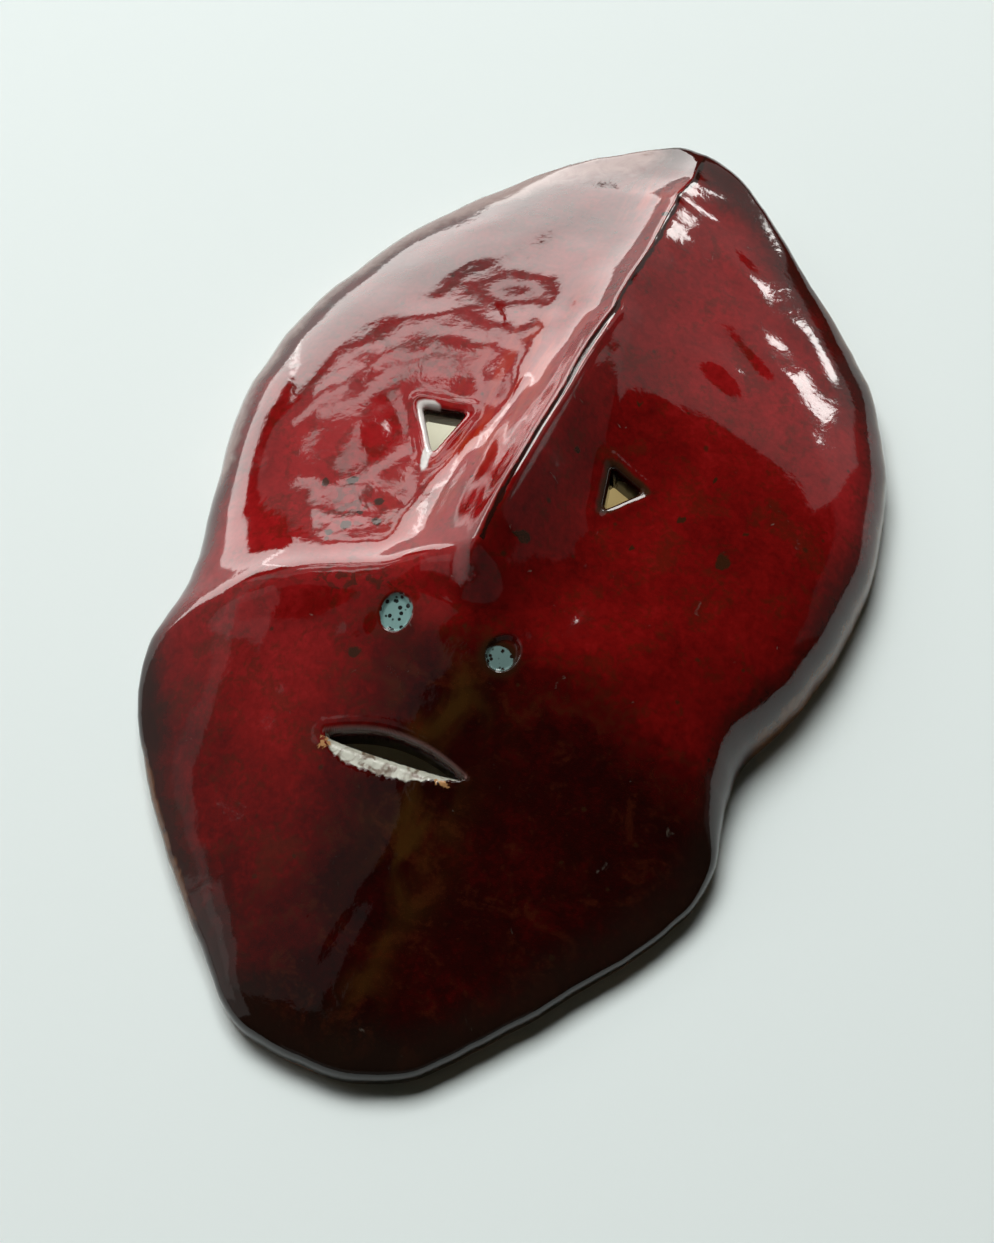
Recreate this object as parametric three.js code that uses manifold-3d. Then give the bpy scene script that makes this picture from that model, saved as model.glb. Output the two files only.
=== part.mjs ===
import * as THREE from "three";
import { mergeVertices } from "three/addons/utils/BufferGeometryUtils.js";
import Module from "manifold-3d";

// A hand-built stoneware mask, lying on its rim with the face up.
// Millimetres: +Y runs from the chin to the pointed forehead, +Z out of the face.

// Overall form
const LENGTH = 215;
const WIDTH = 134;
const HEIGHT = 45;

// Clay wall and rim
const WALL = 6.5;
const RIM_WIDTH = 6.5;
const RIM_HEIGHT = 5.5;
const APEX_LIFT = 9;
const APEX_THICKENING = 3;
const APEX_REACH = 0.145;
const SHOULDER_POWER = 8;

// Pinched forehead ridge and nose
const RIDGE_RISE = 5;
const RIDGE_SOFTNESS_LEFT = 6;
const RIDGE_SOFTNESS_RIGHT = 12;
const FOREHEAD_SLOPE = 0.16;
const NOSE_TIP_Y = -14;
const NOSE_RISE = 11;
const NOSE_HALF_WIDTH = 20;
const BRIDGE_HALF_WIDTH = 7;
const BRIDGE_TOP_Y = 54;
const NOSE_UNDERCUT = 9.5;
const INNER_SOFTNESS = 5;

// Cheeks, sockets and muzzle
const CHEEK_LEFT_RISE = 1.9;
const CHEEK_LEFT_FALL = 4.8;
const CHEEK_RIGHT_RISE = 2.2;
const CHEEK_RIGHT_FALL = 19;
const CHEEK_LOWER_FALL = 7;
const SOCKET_DEPTH = 2.2;
const SOCKET_RADIUS = 16;
const MUZZLE_RISE = 2;
const MUZZLE_HALF_WIDTH = 20;
const MUZZLE_HALF_LENGTH = 13;
const JAW_ROUNDING = 0.0035;

// Eye holes: triangles that point down, cut straight through. The tip says
// how far the lower corner is off the middle, as a share of the width.
const EYE_CORNER = 1.2;
const EYES = [
  { x: -22.3, y: 16.8, turn: 0.08, width: 9.4, drop: 10.4, tip: 0.12 },
  { x: 16.8, y: 14.9, turn: -0.25, width: 7.4, drop: 8.4, tip: 0.07 },
];

// Mouth: a lens-shaped slit whose lower lip is cut back to a slope
const MOUTH_LENGTH = 27.5;
const MOUTH_GAP = 3.2;
const MOUTH_ARCH = 1;
const MOUTH_X = -0.5;
const MOUTH_Y = -51.7;
const MOUTH_TURN = 0.05;
const LIP_SLOPE = 0.8;
const LIP_DEPTH = 2.8;

// Nostrils: blind oval dips
const NOSTRIL_WIDTH = 6.4;
const NOSTRIL_LENGTH = 7.6;
const NOSTRIL_DEPTH = 1.6;
const NOSTRIL_SPREAD = 10.9;
const NOSTRIL_Y = -27.6;

// Mesh rows: outer face, around the rim, inner face
const SEGMENTS = 72;
const OUTER_ROWS = 30;
const INNER_ROWS = 14;

// Rim section from the outer edge to the inner one: inset as a share of
// RIM_WIDTH, height as a share of RIM_HEIGHT. The flat run is the foot.
const RIM_SECTION = [
  [0, 1],
  [0, 0.5],
  [0.1, 0.15],
  [0.25, 0],
  [0.75, 0],
  [0.9, 0.15],
  [1, 0.5],
];

// Plan outline, clockwise from the forehead point, in hundredths of the
// half width and half length. The ridge runs along x = 0.
const OUTLINE = [
  [0, 100],
  [21, 94.5],
  [49, 81],
  [77, 65],
  [94, 44],
  [100, 19],
  [95, -3],
  [85.5, -21],
  [90, -39.5],
  [85, -53.5],
  [65, -73],
  [45, -90],
  [27, -98.5],
  [4, -100],
  [-14, -97.3],
  [-31, -87.8],
  [-57, -71.2],
  [-78.5, -54],
  [-87.5, -40],
  [-85.7, -26],
  [-91.5, -9],
  [-100, 16],
  [-96, 41],
  [-78, 67],
  [-47, 88.5],
  [-20, 98],
];

// Height along the middle without the nose, at even steps from chin to
// forehead point, in hundredths of HEIGHT.
const SPINE = [24, 34, 45, 64, 78, 77, 70, 61, 49];

const outlineCurve = new THREE.CatmullRomCurve3(
  OUTLINE.map(([x, y]) => new THREE.Vector3((x * WIDTH) / 200, (y * LENGTH) / 200, 0)),
  true,
  "catmullrom",
  0.5,
);

const spineCurve = new THREE.SplineCurve(
  SPINE.map((share, i) => new THREE.Vector2(i, (share * HEIGHT) / 100)),
);

const bell = (distance, spread) => Math.exp(-((distance / spread) ** 2));

function spineHeight(y) {
  return spineCurve.getPoint(THREE.MathUtils.clamp(y / LENGTH + 0.5, 0, 1)).y;
}

// The pinched wedge of the nose, which narrows up the forehead and stops
// short below its tip.
function noseHeight(across, y) {
  const along = 1 - THREE.MathUtils.smoothstep(y, NOSE_TIP_Y + 3, BRIDGE_TOP_Y + 8);
  const under = THREE.MathUtils.smoothstep(y, NOSE_TIP_Y - NOSE_UNDERCUT, NOSE_TIP_Y);
  const spread = 1 - THREE.MathUtils.smoothstep(y, NOSE_TIP_Y, BRIDGE_TOP_Y);
  const halfWidth = THREE.MathUtils.lerp(BRIDGE_HALF_WIDTH, NOSE_HALF_WIDTH, spread);
  return NOSE_RISE * along * under * Math.max(0, 1 - across / halfWidth) ** 1.6;
}

// A soft crest that runs from the nose tip out to each side of the jaw.
function cheekHeight(x, y) {
  const across = Math.abs(x);
  const bend = x < 0 ? -0.0035 : 0.004;
  const fromCrest = y - (NOSE_TIP_Y - 2 - 0.2 * across + bend * x * x);
  const rise = x < 0 ? CHEEK_LEFT_RISE : CHEEK_RIGHT_RISE;
  const upperFall = x < 0 ? CHEEK_LEFT_FALL : CHEEK_RIGHT_FALL;
  const fall = fromCrest > 0 ? upperFall : CHEEK_LOWER_FALL;
  const start = THREE.MathUtils.smoothstep(across, 3, x < 0 ? 16 : 28);
  const end = 1 - 0.5 * THREE.MathUtils.smoothstep(across, WIDTH * 0.26, WIDTH * 0.43);
  return rise * start * end * bell(fromCrest, fall);
}

function socketDepth(x, y) {
  const depths = EYES.map((eye) => bell(Math.hypot(x - eye.x, y - eye.y + 6), SOCKET_RADIUS));
  return SOCKET_DEPTH * depths.reduce((sum, depth) => sum + depth);
}

// Height of the face at (x, y) before it turns down at the rim. A softness
// above zero rounds off the ridge, as the thumb does inside the shell.
function faceHeight(x, y, softness) {
  const across = Math.hypot(x, softness);
  const forehead = THREE.MathUtils.smoothstep(y, NOSE_TIP_Y - 15, NOSE_TIP_Y + 13);
  const toRight = THREE.MathUtils.smoothstep(x, -4, 4);
  const spread = THREE.MathUtils.lerp(RIDGE_SOFTNESS_LEFT, RIDGE_SOFTNESS_RIGHT, toRight);
  const ridge = FOREHEAD_SLOPE * across + RIDGE_RISE * (1 - Math.exp(-across / spread));
  const jaw = JAW_ROUNDING * x * x;
  const muzzle = MUZZLE_RISE * bell(x, MUZZLE_HALF_WIDTH) * bell(y - MOUTH_Y - 3, MUZZLE_HALF_LENGTH);
  const base = spineHeight(y) - forehead * ridge - (1 - forehead) * jaw;
  return base + noseHeight(across, y) + cheekHeight(x, y) - socketDepth(x, y) + muzzle;
}

// How far the wall has risen from the rim, for a place at a share of the
// way from the nose tip to the outline.
function shoulder(share) {
  return Math.sqrt(Math.max(0, 1 - share ** SHOULDER_POWER));
}

// One point of the shell: row counts from the nose tip over the rim to the
// middle of the hollow, turn runs once around the outline.
function shellPoint(turn, row) {
  const edge = outlineCurve.getPoint(turn);
  const ray = edge.clone().sub(new THREE.Vector3(0, NOSE_TIP_Y, 0));
  const reach = ray.length();
  const nearApex = 1 - THREE.MathUtils.smoothstep(Math.min(turn, 1 - turn), 0, APEX_REACH);
  const foot = APEX_LIFT * nearApex;
  const rimHeight = RIM_HEIGHT + APEX_THICKENING * nearApex;
  const place = (share, height) => {
    const point = ray.clone().multiplyScalar(share);
    return new THREE.Vector3(point.x, NOSE_TIP_Y + point.y, height);
  };
  if (row <= OUTER_ROWS) {
    const step = row / OUTER_ROWS;
    const share = 0.5 * step + 0.5 * Math.sin((step * Math.PI) / 2);
    const point = place(share, 0);
    const start = foot + rimHeight;
    point.z = start + (faceHeight(point.x, point.y, 0) - start) * shoulder(share);
    return point;
  }
  const lastRim = OUTER_ROWS + RIM_SECTION.length - 1;
  if (row < lastRim) {
    const [inset, height] = RIM_SECTION[row - OUTER_ROWS];
    return place(1 - (inset * RIM_WIDTH) / reach, foot + height * rimHeight);
  }
  const step = 1 - (row - lastRim) / INNER_ROWS;
  const share = 0.5 * step + 0.5 * Math.sin((step * Math.PI) / 2);
  const point = place(share * (1 - RIM_WIDTH / reach), 0);
  const start = foot + RIM_SECTION[RIM_SECTION.length - 1][1] * rimHeight;
  const ceiling = faceHeight(point.x, point.y, INNER_SOFTNESS) - WALL;
  point.z = start + (ceiling - start) * shoulder(share);
  return point;
}

// A sphere pulled into the shell: its top half is the face, its equator
// the rim and its lower half the hollow.
function shellGeometry() {
  const rows = OUTER_ROWS + RIM_SECTION.length - 1 + INNER_ROWS;
  const geometry = new THREE.SphereGeometry(1, SEGMENTS, rows);
  const position = geometry.attributes.position;
  const uv = geometry.attributes.uv;
  for (let i = 0; i < position.count; i += 1) {
    const row = Math.round((1 - uv.getY(i)) * rows);
    const column = Math.round(uv.getX(i) * SEGMENTS) % SEGMENTS;
    const point = shellPoint(1 - column / SEGMENTS, row);
    position.setXYZ(i, point.x, point.y, point.z);
  }
  return geometry;
}

function eyeGeometry(eye) {
  const corners = [
    new THREE.Vector2(-eye.width / 2, eye.drop / 3),
    new THREE.Vector2(eye.width / 2, eye.drop / 3),
    new THREE.Vector2(eye.tip * eye.width, (-eye.drop * 2) / 3),
  ];
  const shape = new THREE.Shape();
  corners.forEach((corner, i) => {
    const before = corners[(i + 2) % 3].clone().sub(corner).setLength(EYE_CORNER).add(corner);
    const after = corners[(i + 1) % 3].clone().sub(corner).setLength(EYE_CORNER).add(corner);
    if (i === 0) shape.moveTo(before.x, before.y);
    else shape.lineTo(before.x, before.y);
    shape.quadraticCurveTo(corner.x, corner.y, after.x, after.y);
  });
  shape.closePath();
  const geometry = new THREE.ExtrudeGeometry(shape, {
    depth: HEIGHT * 2,
    bevelEnabled: false,
    curveSegments: 3,
  });
  geometry.rotateZ(eye.turn);
  geometry.translate(eye.x, eye.y, -HEIGHT / 2);
  return geometry;
}

function lensShape(length, gap, arch) {
  const shape = new THREE.Shape();
  shape.moveTo(-length / 2, 0);
  shape.quadraticCurveTo(0, 2 * arch - gap, length / 2, 0);
  shape.quadraticCurveTo(0, 2 * arch + gap, -length / 2, 0);
  return shape;
}

function mouthGeometry() {
  const geometry = new THREE.ExtrudeGeometry(lensShape(MOUTH_LENGTH, MOUTH_GAP, MOUTH_ARCH), {
    depth: HEIGHT * 2,
    bevelEnabled: false,
    curveSegments: 10,
  });
  geometry.rotateZ(MOUTH_TURN);
  geometry.translate(MOUTH_X, MOUTH_Y, -HEIGHT / 2);
  return geometry;
}

// The sloping lower lip is cut by the same lens, laid over towards the chin
// about a point inside the wall.
function lowerLipGeometry() {
  const geometry = new THREE.ExtrudeGeometry(lensShape(MOUTH_LENGTH, MOUTH_GAP, MOUTH_ARCH), {
    depth: HEIGHT,
    bevelEnabled: false,
    curveSegments: 10,
  });
  geometry.rotateX(LIP_SLOPE);
  geometry.rotateZ(MOUTH_TURN);
  geometry.translate(MOUTH_X, MOUTH_Y, faceHeight(MOUTH_X, MOUTH_Y, 0) - LIP_DEPTH);
  return geometry;
}

function nostrilGeometry(side) {
  const x = side * NOSTRIL_SPREAD;
  const step = 1;
  const rise = (dx, dy) => faceHeight(x + dx, NOSTRIL_Y + dy, 0);
  const slopeX = (rise(step, 0) - rise(-step, 0)) / (2 * step);
  const slopeY = (rise(0, step) - rise(0, -step)) / (2 * step);
  const outward = new THREE.Vector3(-slopeX, -slopeY, 1).normalize();
  const geometry = new THREE.SphereGeometry(1, 20, 12);
  geometry.rotateX(Math.PI / 2);
  geometry.scale(NOSTRIL_WIDTH / 2, NOSTRIL_LENGTH / 2, NOSTRIL_DEPTH);
  const tilt = new THREE.Quaternion().setFromUnitVectors(new THREE.Vector3(0, 0, 1), outward);
  geometry.applyQuaternion(tilt);
  geometry.translate(x, NOSTRIL_Y, rise(0, 0));
  return geometry;
}

const wasm = await Module();
wasm.setup();

function toSolid(geometry) {
  const bare = geometry.clone();
  bare.deleteAttribute("normal");
  bare.deleteAttribute("uv");
  const merged = mergeVertices(bare, 1e-4);
  return new wasm.Manifold(
    new wasm.Mesh({
      numProp: 3,
      vertProperties: Float32Array.from(merged.attributes.position.array),
      triVerts: Uint32Array.from(merged.index.array),
    }),
  );
}

function toGeometry(solid) {
  const mesh = solid.getMesh();
  const geometry = new THREE.BufferGeometry();
  geometry.setAttribute("position", new THREE.BufferAttribute(mesh.vertProperties, 3));
  geometry.setIndex(new THREE.BufferAttribute(mesh.triVerts, 1));
  geometry.computeVertexNormals();
  return geometry;
}

const cuts = [
  ...EYES.map(eyeGeometry),
  mouthGeometry(),
  lowerLipGeometry(),
  nostrilGeometry(-1),
  nostrilGeometry(1),
];

const solid = cuts.reduce(
  (shell, cut) => shell.subtract(toSolid(cut)),
  toSolid(shellGeometry()),
);

const glaze = new THREE.MeshStandardMaterial({
  name: "oxblood_glaze",
  color: 0x6e0f10,
  roughness: 0.12,
  metalness: 0,
});

const mask = new THREE.Mesh(toGeometry(solid), glaze);
mask.name = "mask";

// The origin is on the table, under the middle of the mask.
mask.geometry.computeBoundingBox();
const bounds = mask.geometry.boundingBox;
const middle = bounds.getCenter(new THREE.Vector3());
mask.geometry.translate(-middle.x, -middle.y, -bounds.min.z);

const part = new THREE.Group();
part.name = "ceramic_mask";
part.add(mask);

export default part;
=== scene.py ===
# %% [markdown]
# # A hand-built ceramic mask
#
# The real object is one shell of stoneware clay. The potter pinches a ridge
# down the forehead into a nose, cuts two eyes and a mouth through the wall,
# dips two nostrils, and fires it under a thick copper-red glaze.
#
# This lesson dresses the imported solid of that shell. The solid has the true
# size and form. The script makes the same form again with a finer surface, so
# that the glaze has the small waves, soft lips and pools that it reflects in.

# %% Load the frame and keep its box
import math

import bmesh
import bpy
import numpy as np
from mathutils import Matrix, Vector, noise


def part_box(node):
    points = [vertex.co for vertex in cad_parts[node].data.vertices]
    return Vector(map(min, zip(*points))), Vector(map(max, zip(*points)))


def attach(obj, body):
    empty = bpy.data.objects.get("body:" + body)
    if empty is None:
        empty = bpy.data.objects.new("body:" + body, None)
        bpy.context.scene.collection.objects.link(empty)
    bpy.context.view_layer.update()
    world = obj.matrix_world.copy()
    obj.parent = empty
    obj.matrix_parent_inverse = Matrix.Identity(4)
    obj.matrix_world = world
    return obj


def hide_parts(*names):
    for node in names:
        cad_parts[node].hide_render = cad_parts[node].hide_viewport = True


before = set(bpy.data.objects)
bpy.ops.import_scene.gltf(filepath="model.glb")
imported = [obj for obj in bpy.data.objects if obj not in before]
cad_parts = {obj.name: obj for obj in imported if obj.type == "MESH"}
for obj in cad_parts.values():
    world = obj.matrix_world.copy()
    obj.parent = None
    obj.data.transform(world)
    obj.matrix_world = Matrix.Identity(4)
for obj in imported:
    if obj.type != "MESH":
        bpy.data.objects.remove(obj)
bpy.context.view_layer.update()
LOW, HIGH = (np.array(corner) * 1000 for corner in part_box("mask"))
print("mask box in mm:", LOW.round(1), HIGH.round(1))

# %% [markdown]
# ## Sizes
#
# All shaping is done in millimetres, which suits a thing of this size, and the
# finished mesh is scaled to metres once. The overall width, length and height
# are those of the solid. The others are the ones a potter would name: the
# wall, the rim, the ridge, the nose, the cheeks. The reach of the lifted point
# is a share of one turn around the rim.

# %% Sizes of the shell
WIDTH, LENGTH = 134.0, 215.0
HEIGHT = 45.0
WALL = 6.5
RIM_WIDTH = 6.5
RIM_HEIGHT = 5.5
APEX_LIFT, APEX_THICKENING, APEX_REACH = 9.0, 3.0, 0.145
SHOULDER_POWER = 8

RIDGE_RISE, RIDGE_SOFTNESS_LEFT, RIDGE_SOFTNESS_RIGHT = 5.0, 6.0, 12.0
FOREHEAD_SLOPE = 0.16
NOSE_TIP_Y = -14.0
NOSE_RISE, NOSE_UNDERCUT = 11.0, 9.5
NOSE_HALF_WIDTH, BRIDGE_HALF_WIDTH, BRIDGE_TOP_Y = 20.0, 7.0, 54.0
CREST_SHARP, CREST_ROUND, INNER_SOFTNESS = 0.3, 0.8, 5.0

CHEEK_LEFT_RISE, CHEEK_LEFT_FALL = 1.9, 4.8
CHEEK_RIGHT_RISE, CHEEK_RIGHT_FALL = 2.2, 19.0
CHEEK_LOWER_FALL = 7.0
SOCKET_DEPTH, SOCKET_RADIUS = 2.2, 16.0
MUZZLE_RISE, MUZZLE_HALF_WIDTH, MUZZLE_HALF_LENGTH = 2.0, 20.0, 13.0
JAW_ROUNDING = 0.0035

# %% [markdown]
# ## The outline and the spine
#
# Two curves carry the character of the face: the plan outline, and the height along the middle. Both
# are Catmull-Rom curves, which pass through every point, so a point can be read straight off a
# drawing. The outline is in hundredths of the half width and half length, clockwise from the point of
# the forehead.

# %% Curves
OUTLINE = np.array([
    [0, 100], [21, 94.5], [49, 81], [77, 65], [94, 44], [100, 19], [95, -3],
    [85.5, -21], [90, -39.5], [85, -53.5], [65, -73], [45, -90], [27, -98.5],
    [4, -100], [-14, -97.3], [-31, -87.8], [-57, -71.2], [-78.5, -54], [-87.5, -40],
    [-85.7, -26], [-91.5, -9], [-100, 16], [-96, 41], [-78, 67], [-47, 88.5],
    [-20, 98],
]) * (WIDTH / 200, LENGTH / 200)
SPINE = np.array([24, 34, 45, 64, 78, 77, 70, 61, 49]) * HEIGHT / 100


def catmull_rom(a, b, c, d, t):
    bend = (2 * a - 5 * b + 4 * c - d) * t**2
    twist = (3 * b - a - 3 * c + d) * t**3
    return 0.5 * (2 * b + (c - a) * t + bend + twist)


def outline(turn):
    """The outline point at a share of one turn, clockwise from the apex."""
    place = (turn % 1.0) * len(OUTLINE)
    i = np.floor(place).astype(int)
    a, b, c, d = (OUTLINE[(i + k) % len(OUTLINE)] for k in (-1, 0, 1, 2))
    return catmull_rom(a, b, c, d, (place - i)[:, None])


def spine(y):
    """Height along the middle line, without the nose."""
    last = len(SPINE) - 1
    place = np.clip(y / LENGTH + 0.5, 0, 1) * last
    i = np.minimum(np.floor(place).astype(int), last - 1)
    a, b, c, d = (SPINE[np.clip(i + k, 0, last)] for k in (-1, 0, 1, 2))
    return catmull_rom(a, b, c, d, place - i)


# %% [markdown]
# ## Openings drawn as distances
#
# Each opening is described by a function that tells, for any place on the
# plan, how far it is to the cut edge: negative inside the hole, positive
# outside. One such number does many jobs. It says which faces to remove,
# where the lip begins to round over, and later where the glaze breaks thin
# or pools.

# %% Eye, mouth and nostril distances
EYE_CORNER = 1.0
MOUTH_LENGTH, MOUTH_GAP, MOUTH_ARCH = 27.5, 3.2, 1.0
MOUTH_X, MOUTH_Y, MOUTH_TURN = -0.5, -51.7, 0.05
NOSTRIL_WIDTH, NOSTRIL_LENGTH = 6.4, 7.6
NOSTRIL_SPREAD, NOSTRIL_Y = 10.9, -27.6


def turned(x, y, middle_x, middle_y, angle):
    """Plan coordinates seen from a place, in axes turned by an angle."""
    across, along = x - middle_x, y - middle_y
    cos, sin = math.cos(angle), math.sin(angle)
    return across * cos + along * sin, along * cos - across * sin


def eye_distance(x, y, eye_x, eye_y, angle, width, drop, tip):
    """Distance to a triangle that points down, with rounded corners."""
    u, v = turned(x, y, eye_x, eye_y, angle)
    lowest = (tip * width, -drop * 2 / 3)
    corners = [(-width / 2, drop / 3), lowest, (width / 2, drop / 3)]
    sides = []
    for (ax, ay), (bx, by) in zip(corners, corners[1:] + corners[:1]):
        length = math.hypot(bx - ax, by - ay)
        sides.append(((by - ay) * (u - ax) - (bx - ax) * (v - ay)) / length + EYE_CORNER)
    over = np.sqrt(sum(np.clip(side, 0, None) ** 2 for side in sides))
    return np.where(over > 0, over, np.max(sides, axis=0)) - EYE_CORNER


def mouth_axes(x, y):
    """Places along the mouth and across it, with its arch straightened."""
    u, v = turned(x, y, MOUTH_X, MOUTH_Y, MOUTH_TURN)
    return u, v - MOUTH_ARCH * np.clip(1 - (2 * u / MOUTH_LENGTH) ** 2, 0, 1)


def mouth_distance(x, y):
    """Distance to a lens with two pointed ends."""
    u, v = mouth_axes(x, y)
    half = MOUTH_LENGTH / 2
    gap = MOUTH_GAP / 2 * (1 - np.clip(np.abs(u) / half, 0, 1) ** 2)
    slope = MOUTH_GAP * np.abs(u) / half**2
    side = (np.abs(v) - gap) / np.sqrt(1 + slope**2)
    return np.where(np.abs(u) < half, side, np.hypot(np.abs(u) - half, v))


def nostril_share(x, y, side):
    """0 in the middle of a nostril, 1 on its edge."""
    u, v = turned(x, y, side * NOSTRIL_SPREAD, NOSTRIL_Y, -0.25 * side)
    return np.hypot(u / NOSTRIL_WIDTH, v / NOSTRIL_LENGTH) * 2


EYES = [(-22.3, 16.8, 0.08, 9.4, 10.4, 0.12), (16.8, 14.9, -0.25, 7.4, 8.4, 0.07)]
HOLES = [
    lambda x, y: eye_distance(x, y, *EYES[0]),
    lambda x, y: eye_distance(x, y, *EYES[1]),
    mouth_distance,
]

# %% [markdown]
# ## The face as a height field
#
# Looked at from above, the face has one height at every place, so it can be
# written as a sum: the spine, minus the fall to either side, plus the nose
# wedge, plus a crest for each cheek, minus the eye sockets, plus the muzzle.
# Each term is one small function, so a form can be changed without touching
# the others.

# %% Terms of the height
def smoothstep(value, low, high):
    """0 below low, 1 above high and a soft step between them."""
    t = np.clip((value - low) / (high - low), 0, 1)
    return t * t * (3 - 2 * t)


def bell(distance, spread):
    """1 at distance 0, fading to 0 on both sides."""
    return np.exp(-((distance / spread) ** 2))


def nose_height(across, y):
    along = 1 - smoothstep(y, NOSE_TIP_Y + 3, BRIDGE_TOP_Y + 8)
    under = smoothstep(y, NOSE_TIP_Y - NOSE_UNDERCUT, NOSE_TIP_Y)
    spread = 1 - smoothstep(y, NOSE_TIP_Y, BRIDGE_TOP_Y)
    half_width = BRIDGE_HALF_WIDTH + (NOSE_HALF_WIDTH - BRIDGE_HALF_WIDTH) * spread
    return NOSE_RISE * along * under * np.clip(1 - across / half_width, 0, None) ** 1.6


def cheek_height(x, y):
    across = np.abs(x)
    bend = np.where(x < 0, -0.0035, 0.004)
    from_crest = y - (NOSE_TIP_Y - 2 - 0.2 * across + bend * x * x)
    rise = np.where(x < 0, CHEEK_LEFT_RISE, CHEEK_RIGHT_RISE)
    upper_fall = np.where(x < 0, CHEEK_LEFT_FALL, CHEEK_RIGHT_FALL)
    fall = np.where(from_crest > 0, upper_fall, CHEEK_LOWER_FALL)
    start = smoothstep(across, 3, np.where(x < 0, 16, 28))
    end = 1 - 0.5 * smoothstep(across, WIDTH * 0.26, WIDTH * 0.43)
    return rise * start * end * bell(from_crest, fall)


def socket_depth(x, y):
    return SOCKET_DEPTH * sum(
        bell(np.hypot(x - eye[0], y - eye[1] + 6), SOCKET_RADIUS) for eye in EYES
    )


def blend(start, end, amount):
    return start + (end - start) * amount


def face_height(x, y, softness):
    """Height before the wall turns down at the rim."""
    across = np.hypot(x, softness)
    forehead = smoothstep(y, NOSE_TIP_Y - 15, NOSE_TIP_Y + 13)
    spread = blend(RIDGE_SOFTNESS_LEFT, RIDGE_SOFTNESS_RIGHT, smoothstep(x, -4, 4))
    ridge = FOREHEAD_SLOPE * across + RIDGE_RISE * (1 - np.exp(-across / spread))
    muzzle = MUZZLE_RISE * bell(x, MUZZLE_HALF_WIDTH) * bell(y + 48, MUZZLE_HALF_LENGTH)
    base = spine(y) - forehead * ridge - (1 - forehead) * JAW_ROUNDING * x * x
    return base + nose_height(across, y) + cheek_height(x, y) - socket_depth(x, y) + muzzle


# %% [markdown]
# ## Waves left by the hand
#
# A mirror-like glaze shows every wave of the clay under it, so a perfect
# surface looks like plastic. Three sizes of smooth noise stand for the slab's
# sag, the thumb's dents and the glaze's own ripple. Folds that run along the
# nose and along the cheek crests come from pinching.

# %% Noise, ridge line and soft ovals
RIDGE_SWAY = 0.5
NOSE_FOLD_HEIGHT, NOSE_FOLD_PITCH = 0.17, 6.6
CHEEK_FOLD_HEIGHT = 0.45


def smooth_noise(x, y, size, seed):
    """Perlin noise on the plan, about -1 to 1, with waves of a given size."""
    points = zip(x / size, y / size)
    return np.array([noise.noise(Vector((u, v, seed))) for u, v in points]) * 1.6


def ridge_x(y):
    """The pinched line sways a little on its way up the forehead."""
    sway = np.sin(y / 9.0) * 0.5 + np.sin(y / 3.7 + 1.0) * 0.25
    kink = bell(y - 97, 2.5) - 0.8 * bell(y - 90, 2.0) + 0.6 * bell(y - 52, 2.5)
    return RIDGE_SWAY * (sway + kink) * smoothstep(y, NOSE_TIP_Y, NOSE_TIP_Y + 30)


def marbled_noise(x, y, size, seed):
    """The same noise, pushed sideways by a slower one, so that it swirls."""
    push_x = smooth_noise(x, y, size * 1.3, seed + 3)
    push_y = smooth_noise(x, y, size * 1.3, seed + 6)
    return smooth_noise(x + 0.5 * size * push_x, y + 0.5 * size * push_y, size, seed)


def patch(x, y, middle_x, middle_y, half_width, half_length, angle=0.0):
    """1 in the middle of a soft oval, fading to 0 around it."""
    u, v = turned(x, y, middle_x, middle_y, angle)
    return np.exp(-((u / half_width) ** 2) - (v / half_length) ** 2)


# %% [markdown]
# The waves are added up in one function. The dents are a list of places, so
# that one can be moved without touching the rest: a press of a finger is a
# round dip, a push from inside is a round bump. Long folds on the right
# shoulder catch the small window as bright arcs.

# %% Relief of the outer skin
SAG_HEIGHT, SAG_SIZE = 0.36, 24
WAVE_HEIGHT, WAVE_SIZE = 0.13, 9.5
RIPPLE_HEIGHT, RIPPLE_SIZE = 0.03, 3.6
SWIRL_HEIGHT, SWIRL_SIZE = 0.17, 8.5
DENTS = [
    (-17, -32, 3.2, 0.65), (-22, -38, 4.5, -0.4), (-33, -36, 5, 0.35), (-27, -50, 4, -0.3),
    (-38, -52, 5, 0.35), (-30, -66, 5, -0.3), (-12, -66, 5, 0.3), (-41, 2, 6, -0.3),
]
LONG_FOLDS = [
    (31.8, 60.0, 10, 4.5, 0.80, -0.57), (25.0, 53.0, 5, 3.2, 0.55, -0.57),
    (17.5, 80.0, 5, 3.0, 0.35, -0.45),
]
GROOVE_DEPTH, GROOVE_WIDTH, GROOVE_SIDE = 0.38, 0.45, 0.6
BANK_HEIGHT, BANK_WIDTH, BANK_SIDE = 0.25, 0.6, 1.2
FLANK_FULLNESS, FLANK_REACH = 1.2, 8.0


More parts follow.
